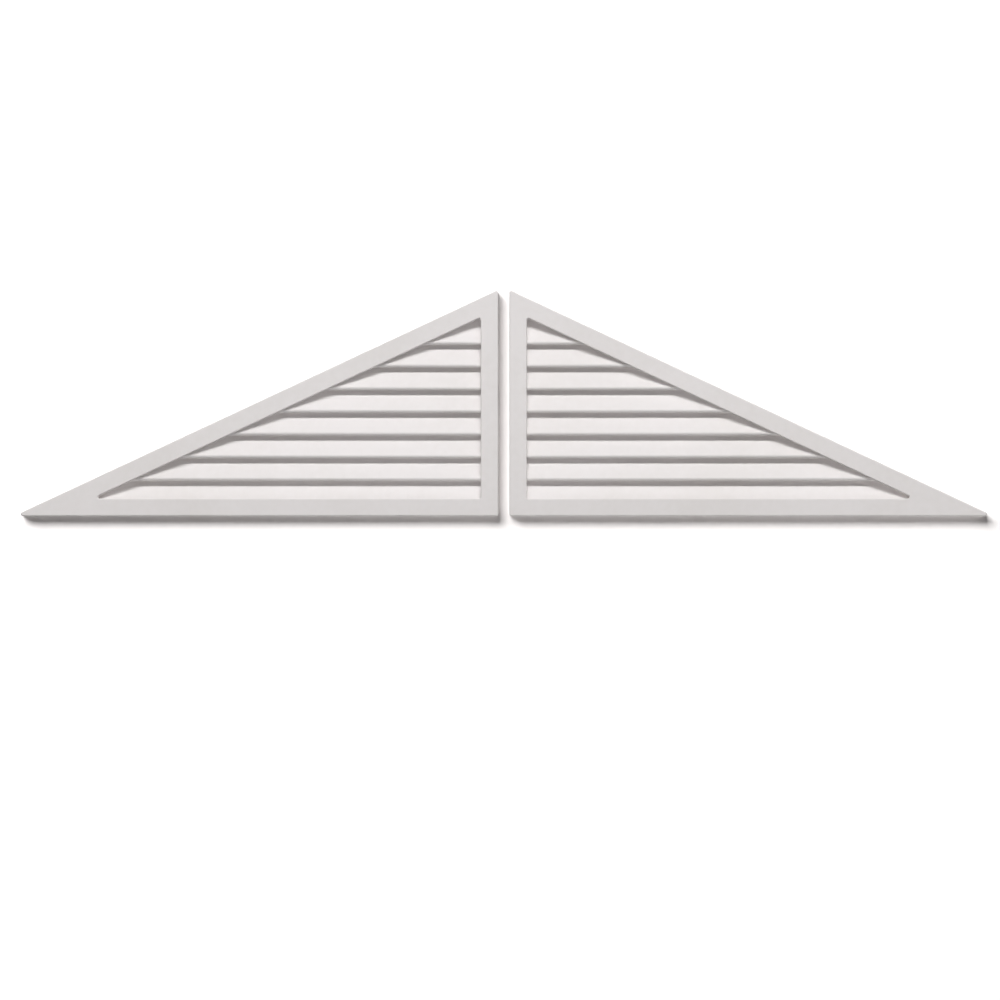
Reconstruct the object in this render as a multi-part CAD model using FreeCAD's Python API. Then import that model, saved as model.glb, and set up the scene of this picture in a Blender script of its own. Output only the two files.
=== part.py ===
# Two-piece triangular gable vent: a left and a right louvred half, each moulded in one piece from
# rigid polyurethane, with an insect screen stapled into a rebate behind the louvres.
# Millimetres. +Z is up, the louvred face looks along -Y and the wall side along +Y.
# The origin is the centre of the bottom edge, midway through the depth, between the two halves.
import FreeCAD, Part
import math
import os

# Outline of one half, measured to its corners before they are rounded
HALF_WIDTH = 1219.0
HALF_HEIGHT = 569.0
DEPTH = 41.0
MEETING_GAP = 28.0
CORNER_RADIUS = 5.0

# Moulded frame with a flat face: stile at the meeting edge, rail along the bottom, rake along the slope
FRAME_WIDTH = 44.0
OPENING_CORNER_RADIUS = 4.0
FACE_EDGE_RADIUS = 3.0

# Louvre slats with full-round noses: seen from the front, each nose hides the back edge of the slat below
SLAT_PITCH = 57.15
SLAT_THICKNESS = 12.0
SLAT_OVERLAP = 7.0
NOSE_SETBACK = 10.0
SILL_SINK = 6.8
SHORTEST_NOSE = 60.0

# Insect screen, lying in a rebate round the back of the opening, with a coarse grid for its weave
REBATE_WIDTH = 14.0
REBATE_DEPTH = 1.8
SCREEN_THICKNESS = 0.5
SCREEN_CLEARANCE = 1.0
GRID_COLUMNS = 12
STRAND_WIDTH = 16.0

# Wire staples that hold the screen
STAPLE_SPACING = 100.0
STAPLE_CROWN = 11.0
STAPLE_LEG = 8.0
STAPLE_WIRE_WIDTH = 1.2
STAPLE_WIRE_THICKNESS = 0.6

# Places that follow from the sizes above
RAKE_ANGLE = math.atan2(HALF_HEIGHT, HALF_WIDTH)
FRONT_Y = -DEPTH / 2
BACK_Y = DEPTH / 2
SEAT_Y = BACK_Y - REBATE_DEPTH
MEETING_X = MEETING_GAP / 2

# Slope of the slats, whose faces leave the nose's round at a tangent and end at the screen's seat
NOSE_RADIUS = SLAT_THICKNESS / 2
NOSE_Y = FRONT_Y + NOSE_SETBACK + NOSE_RADIUS
SLAT_RUN = SEAT_Y - NOSE_Y
SLAT_RISE = SLAT_PITCH - NOSE_RADIUS + SLAT_OVERLAP
SLAT_ANGLE = math.atan2(SLAT_RISE, SLAT_RUN) - math.asin(NOSE_RADIUS / math.hypot(SLAT_RUN, SLAT_RISE))


def inset_corners(inset):
    """Corners (x, z) of the right half's triangle, moved in from its three sides: foot, tip, apex."""
    rake_top = HALF_HEIGHT - inset / math.cos(RAKE_ANGLE)
    slope = math.tan(RAKE_ANGLE)
    foot = (MEETING_X + inset, inset)
    tip = (MEETING_X + (rake_top - inset) / slope, inset)
    apex = (MEETING_X + inset, rake_top - inset * slope)
    return [foot, tip, apex]


def polygon_face(points):
    """Flat face with the points as its corners."""
    return Part.Face(Part.makePolygon(points + points[:1]))


def prism(corners, y_front, y_back):
    """Solid between two depths, with the corners (x, z) as its outline."""
    outline = polygon_face([FreeCAD.Vector(x, y_front, z) for x, z in corners])
    return outline.extrude(FreeCAD.Vector(0, y_back - y_front, 0))


def edges_at_depth(shape, y):
    """Edges of the shape that lie wholly at one depth."""
    near = 1e-6
    return [e for e in shape.Edges if abs(e.BoundBox.YMin - y) < near and abs(e.BoundBox.YMax - y) < near]


def edges_through_depth(shape):
    """Edges of the shape that run straight from its front to its back."""
    near = 1e-6
    return [e for e in shape.Edges if abs(e.BoundBox.YLength - shape.BoundBox.YLength) < near]


def rounded_block(corners, radius):
    """Block as deep as the vent, with its corners rounded."""
    block = prism(corners, FRONT_Y, BACK_Y)
    return block.makeFillet(radius, edges_through_depth(block))


def frame():
    """Stile, rail and rake in one, with rounded edges round the face and the screen's rebate behind."""
    outside = rounded_block(inset_corners(0), CORNER_RADIUS)
    opening = rounded_block(inset_corners(FRAME_WIDTH), OPENING_CORNER_RADIUS)
    ring = outside.cut(opening)
    ring = ring.makeFillet(FACE_EDGE_RADIUS, edges_at_depth(ring, FRONT_Y))
    return ring.cut(prism(inset_corners(FRAME_WIDTH - REBATE_WIDTH), SEAT_Y, BACK_Y))


def slat(nose_z):
    """One sloping slat, from the middle of its nose's round to its upright back edge, run into the frame."""
    nose = FreeCAD.Vector(MEETING_X, NOSE_Y, nose_z)
    along = FreeCAD.Vector(0, math.cos(SLAT_ANGLE), math.sin(SLAT_ANGLE)) * NOSE_RADIUS
    outward = FreeCAD.Vector(0, -math.sin(SLAT_ANGLE), math.cos(SLAT_ANGLE)) * NOSE_RADIUS
    back_top = FreeCAD.Vector(MEETING_X, SEAT_Y, nose_z + SLAT_RISE)
    back_bottom = back_top - FreeCAD.Vector(0, 0, SLAT_THICKNESS / math.cos(SLAT_ANGLE))
    section = Part.Wire([
        Part.makeLine(nose + outward, back_top),
        Part.makeLine(back_top, back_bottom),
        Part.makeLine(back_bottom, nose - outward),
        Part.Arc(nose - outward, nose - along, nose + outward).toShape(),
    ])
    board = Part.Face(section).extrude(FreeCAD.Vector(HALF_WIDTH, 0, 0))
    return board.common(prism(inset_corners(FRAME_WIDTH / 2), FRONT_Y, BACK_Y))


def slats():
    """The sill slat, whose nose is sunk behind the rail, and every slat above it that is long enough."""
    foot, tip, apex = inset_corners(FRAME_WIDTH)
    highest_nose = apex[1] - SHORTEST_NOSE * math.tan(RAKE_ANGLE)
    sill_nose = FRAME_WIDTH - SILL_SINK
    count = 1 + math.floor((highest_nose - sill_nose) / SLAT_PITCH)
    return [slat(sill_nose + row * SLAT_PITCH) for row in range(count)]


def staple(x, z, turn):
    """One staple astride the screen's back face, its crown turned about Y from the X direction."""
    crown_y = SCREEN_THICKNESS + STAPLE_WIRE_THICKNESS
    outer = STAPLE_CROWN / 2
    inner = outer - STAPLE_WIRE_THICKNESS
    profile = [
        (-outer, -STAPLE_LEG),
        (-outer, crown_y),
        (outer, crown_y),
        (outer, -STAPLE_LEG),
        (inner, -STAPLE_LEG),
        (inner, SCREEN_THICKNESS),
        (-inner, SCREEN_THICKNESS),
        (-inner, -STAPLE_LEG),
    ]
    side = polygon_face([FreeCAD.Vector(along, y, -STAPLE_WIRE_WIDTH / 2) for along, y in profile])
    wire = side.extrude(FreeCAD.Vector(0, 0, STAPLE_WIRE_WIDTH))
    turned = FreeCAD.Rotation(FreeCAD.Vector(0, 1, 0), math.degrees(turn))
    wire.Placement = FreeCAD.Placement(FreeCAD.Vector(x, SEAT_Y, z), turned)
    return wire


def staples():
    """Staples evenly spaced along the rail, the rake and the stile, in the middle of the rebate."""
    corners = inset_corners(FRAME_WIDTH - REBATE_WIDTH / 2)
    placed = []
    for start, end in zip(corners, corners[1:] + corners[:1]):
        run_x = end[0] - start[0]
        run_z = end[1] - start[1]
        count = max(1, round(math.hypot(run_x, run_z) / STAPLE_SPACING))
        for i in range(count):
            share = (i + 0.5) / count
            turn = math.atan2(-run_z, run_x)
            placed.append(staple(start[0] + share * run_x, start[1] + share * run_z, turn))
    return placed


def louver_panel(fasteners):
    """The moulded half: frame and slats in one solid, pierced where the staples are driven in."""
    moulding = frame().fuse(slats()).removeSplitter()
    return moulding.cut(fasteners)


def screen_layer(corners):
    """Solid as thick as the screen and lying where it does, with the corners (x, z) as its outline."""
    return prism(corners, SEAT_Y, SEAT_Y + SCREEN_THICKNESS)


def strands():
    """Upright and level strips that divide the louvre opening into a square grid."""
    foot, tip, apex = inset_corners(FRAME_WIDTH)
    length = tip[0] - foot[0]
    strips = []
    for i in range(1, GRID_COLUMNS):
        near = i * length / GRID_COLUMNS - STRAND_WIDTH / 2
        far = near + STRAND_WIDTH
        across = [(near, 0), (far, 0), (far, length), (near, length)]
        strips.append(screen_layer([(foot[0] + x, foot[1] + z) for x, z in across]))
        strips.append(screen_layer([(foot[0] + x, foot[1] + z) for z, x in across]))
    return strips


def insect_screen(fasteners):
    """The screen, cut a little smaller than its rebate, with the grid's holes apart from narrow slivers."""
    sheet = screen_layer(inset_corners(FRAME_WIDTH - REBATE_WIDTH + SCREEN_CLEARANCE))
    field = screen_layer(inset_corners(FRAME_WIDTH + STRAND_WIDTH / 2)).cut(strands())
    boxes = [(hole, hole.BoundBox) for hole in field.Solids]
    holes = [hole for hole, box in boxes if min(box.XLength, box.ZLength) > STRAND_WIDTH]
    return sheet.cut(holes + fasteners)


def single_solid(shape):
    """The one solid that a boolean's result holds."""
    if len(shape.Solids) != 1:
        raise ValueError(f"expected one solid, found {len(shape.Solids)}")
    return shape.Solids[0]


def main():
    os.makedirs("parts", exist_ok=True)
    fasteners = staples()
    right_half = {
        "louver_panel": single_solid(louver_panel(fasteners)),
        "insect_screen": single_solid(insect_screen(fasteners)),
        "screen_staples": Part.makeCompound(fasteners),
    }
    centre = FreeCAD.Vector(0, 0, 0)
    across = FreeCAD.Vector(1, 0, 0)
    for piece, shape in right_half.items():
        shape.exportStep(f"parts/right_{piece}.step")
        shape.mirror(centre, across).exportStep(f"parts/left_{piece}.step")


main()
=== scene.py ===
import math

import bmesh
import bpy
from mathutils import Matrix, Vector


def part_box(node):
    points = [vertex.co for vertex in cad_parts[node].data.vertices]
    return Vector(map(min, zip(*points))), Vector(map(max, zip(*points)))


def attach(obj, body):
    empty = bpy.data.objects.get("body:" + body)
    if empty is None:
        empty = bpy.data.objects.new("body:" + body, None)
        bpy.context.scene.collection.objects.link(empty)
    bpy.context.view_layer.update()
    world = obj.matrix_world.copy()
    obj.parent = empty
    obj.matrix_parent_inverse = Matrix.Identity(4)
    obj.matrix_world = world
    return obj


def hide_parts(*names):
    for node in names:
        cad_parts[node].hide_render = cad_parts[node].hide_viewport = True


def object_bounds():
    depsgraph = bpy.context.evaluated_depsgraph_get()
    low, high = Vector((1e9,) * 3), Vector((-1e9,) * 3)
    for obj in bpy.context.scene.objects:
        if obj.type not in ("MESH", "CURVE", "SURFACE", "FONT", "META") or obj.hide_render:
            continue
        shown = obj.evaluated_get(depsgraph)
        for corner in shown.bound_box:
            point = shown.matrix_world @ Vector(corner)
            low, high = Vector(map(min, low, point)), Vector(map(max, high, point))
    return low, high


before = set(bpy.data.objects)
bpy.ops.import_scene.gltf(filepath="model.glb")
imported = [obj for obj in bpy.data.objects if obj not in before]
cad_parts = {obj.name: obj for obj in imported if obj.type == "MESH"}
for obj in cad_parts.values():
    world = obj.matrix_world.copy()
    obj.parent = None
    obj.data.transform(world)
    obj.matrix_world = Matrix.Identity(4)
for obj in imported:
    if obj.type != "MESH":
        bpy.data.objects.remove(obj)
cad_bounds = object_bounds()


# Louvre panels: the two mirrored halves of the vent, with frame and slats moulded in one piece from rigid
# polyurethane foam. The smooth moulded skin is sprayed with matt white primer, which leaves a fine grain.
PANELS = ("left_louver_panel", "right_louver_panel")
PRIMER_WHITE = (0.868, 0.833, 0.826, 1.0)
PRIMER_THIN = (0.825, 0.79, 0.775, 1.0)
PRIMER_ROUGHNESS = 0.52
ROUGHNESS_CHANGE = 0.16
CLOUD_SHARE = 0.7
RIPPLE_STRENGTH = 0.5
RIPPLE_HEIGHT = 0.0006
GRAIN_STRENGTH = 0.35
GRAIN_HEIGHT = 0.00008


class Shade:
    """An output in a node tree. Arithmetic on it adds Math nodes, and add() makes any other node."""

    def __init__(self, tree, output=None):
        self.tree = tree
        self.output = output

    def add(self, kind, settings=None, inputs=None, result=0):
        """One output, by number or name, of a new node. Its settings are set before its inputs."""
        node = self.tree.nodes.new(kind)
        for name, value in (settings or {}).items():
            setattr(node, name, value)
        for name, value in (inputs or {}).items():
            if isinstance(value, Shade):
                self.tree.links.new(value.output, node.inputs[name])
            else:
                node.inputs[name].default_value = value
        return Shade(self.tree, node.outputs[result] if len(node.outputs) else None)

    def maths(self, operation, first, second):
        return self.add("ShaderNodeMath", {"operation": operation}, {0: first, 1: second})

    def __add__(self, other):
        return self.maths("ADD", self, other)

    __radd__ = __add__

    def __sub__(self, other):
        return self.maths("SUBTRACT", self, other)

    def __rsub__(self, other):
        return self.maths("SUBTRACT", other, self)

    def __mul__(self, other):
        return self.maths("MULTIPLY", self, other)

    __rmul__ = __mul__

    def mix_colours(self, first, second):
        """The first colour where this value is 0, the second where it is 1."""
        inputs = {"Factor": self, "A": first, "B": second}
        return self.add("ShaderNodeMix", {"data_type": "RGBA"}, inputs, "Result")


def new_material(name):
    """An empty material, and the maker of its nodes."""
    material = bpy.data.materials.new(name)
    material.use_nodes = True
    material.node_tree.nodes.clear()
    return material, Shade(material.node_tree)


def noise(place, scale, detail):
    """Soft clouds from 0 to 1, about as many to the metre as the scale says."""
    return place.add("ShaderNodeTexNoise", inputs={"Vector": place, "Scale": scale, "Detail": detail})


def rise(value, low, high):
    """0 up to the low value and 1 from the high one, with an even rise between them."""
    return value.add("ShaderNodeMapRange", inputs={"Value": value, "From Min": low, "From Max": high})


def close_material(shade, surface):
    """End a material in one Principled surface, whose sockets take these values or links."""
    bsdf = shade.add("ShaderNodeBsdfPrincipled", inputs=surface)
    shade.add("ShaderNodeOutputMaterial", inputs={"Surface": bsdf})


def cover(piece, material):
    """Give a piece one material, in place of what it has."""
    piece.data.materials.clear()
    piece.data.materials.append(material)


def primed_polyurethane():
    material, shade = new_material("white_primed_polyurethane")
    place = shade.add("ShaderNodeTexCoord", result="Object")
    cloud = noise(place, scale=3.0, detail=4.0)
    mist = noise(place, scale=60.0, detail=3.0)
    grain = noise(place, scale=520.0, detail=2.0)
    thin = rise(cloud * CLOUD_SHARE + mist * (1 - CLOUD_SHARE), low=0.42, high=0.66)
    ripple = {"Strength": RIPPLE_STRENGTH, "Distance": RIPPLE_HEIGHT, "Height": cloud}
    rippled = shade.add("ShaderNodeBump", inputs=ripple)
    skin = {"Strength": GRAIN_STRENGTH, "Distance": GRAIN_HEIGHT, "Height": grain, "Normal": rippled}
    surface = {
        "Base Color": thin.mix_colours(PRIMER_WHITE, PRIMER_THIN),
        "Roughness": PRIMER_ROUGHNESS + (mist - 0.5) * ROUGHNESS_CHANGE,
        "Normal": shade.add("ShaderNodeBump", inputs=skin),
    }
    close_material(shade, surface)
    return material


primer = primed_polyurethane()
for panel in PANELS:
    cover(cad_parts[panel], primer)


# Insect screens: woven aluminium wire mesh, cut to the triangle of the rebate behind each opening and laid
# in it before the panel goes up. The warp wires stand upright and the weft wires lie across them.
SCREENS = ("left_insect_screen", "right_insect_screen")
INCH = 0.0254
WARP_PITCH = INCH / 18
WEFT_PITCH = INCH / 16
WIRE_SIDES = 6
ALUMINIUM = (0.60, 0.61, 0.62, 1.0)
ALUMINIUM_DULL = (0.42, 0.43, 0.44, 1.0)
ALUMINIUM_ROUGHNESS = 0.38
DULL_ROUGHENING = 0.2


def drawn_aluminium():
    material, shade = new_material("aluminium_mesh_wire")
    place = shade.add("ShaderNodeTexCoord", result="Object")
    dull = rise(noise(place, scale=40.0, detail=5.0), low=0.35, high=0.7)
    surface = {
        "Base Color": dull.mix_colours(ALUMINIUM, ALUMINIUM_DULL),
        "Metallic": 1.0,
        "Roughness": ALUMINIUM_ROUGHNESS + dull * DULL_ROUGHENING,
    }
    close_material(shade, surface)
    return material


def add_wire(mesh, start, end, diameter):
    """A straight round wire between two points, with closed ends."""
    along = end - start
    place = Matrix.Translation((start + end) / 2) @ along.to_track_quat("Z", "Y").to_matrix().to_4x4()
    bmesh.ops.create_cone(
        mesh,
        cap_ends=True,
        segments=WIRE_SIDES,
        radius1=diameter / 2,
        radius2=diameter / 2,
        depth=along.length,
        matrix=place,
    )


def woven_screen(node):
    """Wire mesh that fills the node's right triangle, whose upright side is the one near the other half."""
    low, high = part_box(node)
    foot_x, tip_x = sorted((low.x, high.x), key=abs)
    wire = (high.y - low.y) / 2
    width = tip_x - foot_x
    height = high.z - low.z
    mesh = bmesh.new()
    columns = int(abs(width) / WARP_PITCH)
    for column in range(columns):
        share = (column + 0.5) / columns
        x = foot_x + share * width
        y = low.y + wire / 2
        add_wire(mesh, Vector((x, y, low.z)), Vector((x, y, high.z - share * height)), wire)
    rows = int(height / WEFT_PITCH)
    for row in range(rows):
        share = (row + 0.5) / rows
        y = high.y - wire / 2
        z = low.z + share * height
        add_wire(mesh, Vector((foot_x, y, z)), Vector((tip_x - share * width, y, z)), wire)
    data = bpy.data.meshes.new(node + "_mesh")
    mesh.to_mesh(data)
    mesh.free()
    data.shade_smooth()
    screen = bpy.data.objects.new(node + "_mesh", data)
    bpy.context.scene.collection.objects.link(screen)
    return screen


mesh_wire = drawn_aluminium()
for node in SCREENS:
    screen = woven_screen(node)
    cover(screen, mesh_wire)
    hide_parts(node)
    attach(screen, "root")


# Staples: galvanised wire staples shot through the mesh into the foam, round the edge of each screen.
# Only their crowns stand out, and the wire's edges are slightly rounded by drawing.
STAPLES = ("left_screen_staples", "right_screen_staples")
ZINC = (0.66, 0.67, 0.68, 1.0)
ZINC_DULL = (0.47, 0.48, 0.50, 1.0)
ZINC_ROUGHNESS = 0.3
ZINC_ROUGHENING = 0.25
SPANGLE_SHARE = 0.5
SPANGLES_PER_METRE = 700.0
SAME_POINT = 1e-6
WIRE_ROUNDING = 0.00018
ROUNDING_STEPS = 2


def galvanised_wire():
    material, shade = new_material("galvanised_staple_wire")
    place = shade.add("ShaderNodeTexCoord", result="Object")
    cells = {"Vector": place, "Scale": SPANGLES_PER_METRE}
    spangle = shade.add("ShaderNodeTexVoronoi", inputs=cells, result="Color")
    tone = shade.add("ShaderNodeSeparateColor", inputs={"Color": spangle}, result="Red")
    bloom = noise(place, scale=300.0, detail=4.0)
    dull = tone * SPANGLE_SHARE + bloom * (1 - SPANGLE_SHARE)
    surface = {
        "Base Color": dull.mix_colours(ZINC, ZINC_DULL),
        "Metallic": 1.0,
        "Roughness": ZINC_ROUGHNESS + dull * ZINC_ROUGHENING,
    }
    close_material(shade, surface)
    return material


staple_wire = galvanised_wire()
for node in STAPLES:
    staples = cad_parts[node]
    cover(staples, staple_wire)
    staples.modifiers.new("joined_triangles", "WELD").merge_threshold = SAME_POINT
    rounding = staples.modifiers.new("rounded_wire", "BEVEL")
    rounding.width = WIRE_ROUNDING
    rounding.segments = ROUNDING_STEPS
    rounding.limit_method = "ANGLE"


# Stage: a white wall just behind the vent, which takes its shadow, and a pale floor well below it.
# The wall is only there for the camera, and only from its front, so that the back can be looked at too.
WALL_CLEARANCE = 0.001
WALL_SIZE = 12.0
WALL_PAINT = (1.0, 0.97, 0.96, 1.0)
FLOOR_DROP = 1.5
FLOOR_SIZE = 30.0
FLOOR_GREY = (0.3, 0.3, 0.3, 1.0)
FLOOR_GLOW = 0.8
vent_low, vent_high = cad_bounds


def stage_plane(name, size, place):
    """Square sheet that lies level and faces up, unless its place turns it."""
    mesh = bmesh.new()
    bmesh.ops.create_grid(mesh, x_segments=1, y_segments=1, size=size / 2, matrix=place)
    data = bpy.data.meshes.new(name)
    mesh.to_mesh(data)
    mesh.free()
    plane = bpy.data.objects.new(name, data)
    bpy.context.scene.collection.objects.link(plane)
    return plane


def white_wall():
    """White paint on the front, and nothing to see from behind."""
    material, shade = new_material("white_wall")
    paint = shade.add("ShaderNodeBsdfDiffuse", inputs={"Color": WALL_PAINT})
    unseen = shade.add("ShaderNodeBsdfTransparent")
    behind = shade.add("ShaderNodeNewGeometry", result="Backfacing")
    surface = shade.add("ShaderNodeMixShader", inputs={0: behind, 1: paint, 2: unseen})
    shade.add("ShaderNodeOutputMaterial", inputs={"Surface": surface})
    return material


def pale_floor():
    """Grey paint that throws little light up at the vent, and looks paler to the camera."""
    material, shade = new_material("pale_floor")
    paint = shade.add("ShaderNodeBsdfDiffuse", inputs={"Color": FLOOR_GREY})
    glow = shade.add("ShaderNodeEmission", inputs={"Strength": FLOOR_GLOW})
    lit = shade.add("ShaderNodeAddShader", inputs={0: paint, 1: glow})
    seen = shade.add("ShaderNodeLightPath", result="Is Camera Ray")
    surface = shade.add("ShaderNodeMixShader", inputs={0: seen, 1: paint, 2: lit})
    shade.add("ShaderNodeOutputMaterial", inputs={"Surface": surface})
    return material


facing_front = Matrix.Rotation(math.radians(90), 4, "X")
wall_place = Matrix.Translation((0, vent_high.y + WALL_CLEARANCE, 0)) @ facing_front
wall = stage_plane("wall", WALL_SIZE, wall_place)
cover(wall, white_wall())
wall.visible_diffuse = False
wall.visible_glossy = False
wall.visible_transmission = False
wall.visible_shadow = False
floor = stage_plane("floor", FLOOR_SIZE, Matrix.Translation((0, 0, vent_low.z - FLOOR_DROP)))
cover(floor, pale_floor())


# Light: a long soft lamp above the front, as in the photo, a weak one below it, and one behind for the back.
# The wall has a lamp of its own, at the upper left, for the white of the wall and the vent's shadow on it.
# The world fills the shadows a little, and shows white to the camera and in reflections.
WHITE = (1.0, 1.0, 1.0, 1.0)
FILL_STRENGTH = 0.05
SEEN_STRENGTH = 1.0
LAMP_SPREAD = math.radians(70)
vent_middle = (vent_low + vent_high) / 2


def soft_lamp(name, azimuth, elevation, distance, width, height, power):
    """Rectangular lamp turned to the middle of the vent, from degrees right of the front and above level."""
    turn = math.radians(azimuth)
    tilt = math.radians(elevation)
    level = Vector((math.sin(turn), -math.cos(turn), 0.0))
    towards_lamp = level * math.cos(tilt) + Vector((0.0, 0.0, math.sin(tilt)))
    data = bpy.data.lights.new(name, "AREA")
    data.shape = "RECTANGLE"
    data.size = width
    data.size_y = height
    data.energy = power
    lamp = bpy.data.objects.new(name, data)
    lamp.location = vent_middle + towards_lamp * distance
    lamp.rotation_euler = towards_lamp.to_track_quat("Z", "Y").to_euler()
    lamp.visible_camera = False
    bpy.context.scene.collection.objects.link(lamp)
    return lamp


def link_to_wall(lamp, state):
    """Have a lamp light nothing but the wall (INCLUDE), or everything but the wall (EXCLUDE)."""
    receivers = bpy.data.collections.new(lamp.name)
    receivers.objects.link(wall)
    receivers.collection_objects[0].light_linking.link_state = state
    lamp.light_linking.receiver_collection = receivers


key_lamp = soft_lamp("key_lamp", azimuth=0, elevation=40, distance=3.6, width=8.0, height=0.65, power=45.0)
low_lamp = soft_lamp("low_lamp", azimuth=0, elevation=-30, distance=2.0, width=5.0, height=1.0, power=5.4)
for lamp in (key_lamp, low_lamp):
    lamp.data.spread = LAMP_SPREAD
    link_to_wall(lamp, "EXCLUDE")
wall_lamp = soft_lamp(
    "wall_lamp", azimuth=-26, elevation=30, distance=30.0, width=24.0, height=13.5, power=14700.0
)
link_to_wall(wall_lamp, "INCLUDE")
soft_lamp("back_lamp", azimuth=165, elevation=-45, distance=2.2, width=4.0, height=0.6, power=65.0)

world = bpy.data.worlds.new("soft_studio")
world.use_nodes = True
world.node_tree.nodes.clear()
sky = Shade(world.node_tree)
fill = sky.add("ShaderNodeBackground", inputs={"Color": WHITE, "Strength": FILL_STRENGTH})
white = sky.add("ShaderNodeBackground", inputs={"Color": WHITE, "Strength": SEEN_STRENGTH})
ray_kinds = ("Is Camera Ray", "Is Glossy Ray", "Is Transmission Ray")
camera_ray, glossy_ray, glass_ray = (sky.add("ShaderNodeLightPath", result=kind) for kind in ray_kinds)
seen = camera_ray + glossy_ray + glass_ray
seen_sky = sky.add("ShaderNodeMixShader", inputs={0: seen, 1: fill, 2: white})
sky.add("ShaderNodeOutputWorld", inputs={"Surface": seen_sky})
bpy.context.scene.world = world
bpy.context.scene.view_settings.view_transform = "Standard"


# Camera: straight on to the louvred face through a long lens, framed as the photo frames the vent.
# What one of the photo's pixels covers on that face gives the camera's distance and its place.
PHOTO_PIXELS = 1000
METRES_PER_PIXEL = 0.002516
MIDDLE_COLUMN = 503.8
BOTTOM_ROW = 516.0
LENS_MM = 200.0
CAMERA_REACH = 100.0

camera_data = bpy.data.cameras.new("camera")
camera_data.lens = LENS_MM
camera_data.clip_end = CAMERA_REACH
frame_width = PHOTO_PIXELS * METRES_PER_PIXEL
distance = frame_width * camera_data.lens / camera_data.sensor_width
camera = bpy.data.objects.new("camera", camera_data)
camera.location = (
    (PHOTO_PIXELS / 2 - MIDDLE_COLUMN) * METRES_PER_PIXEL,
    vent_low.y - distance,
    vent_low.z + (BOTTOM_ROW - PHOTO_PIXELS / 2) * METRES_PER_PIXEL,
)
camera.rotation_euler = (math.radians(90), 0, 0)
bpy.context.scene.collection.objects.link(camera)
bpy.context.scene.camera = camera
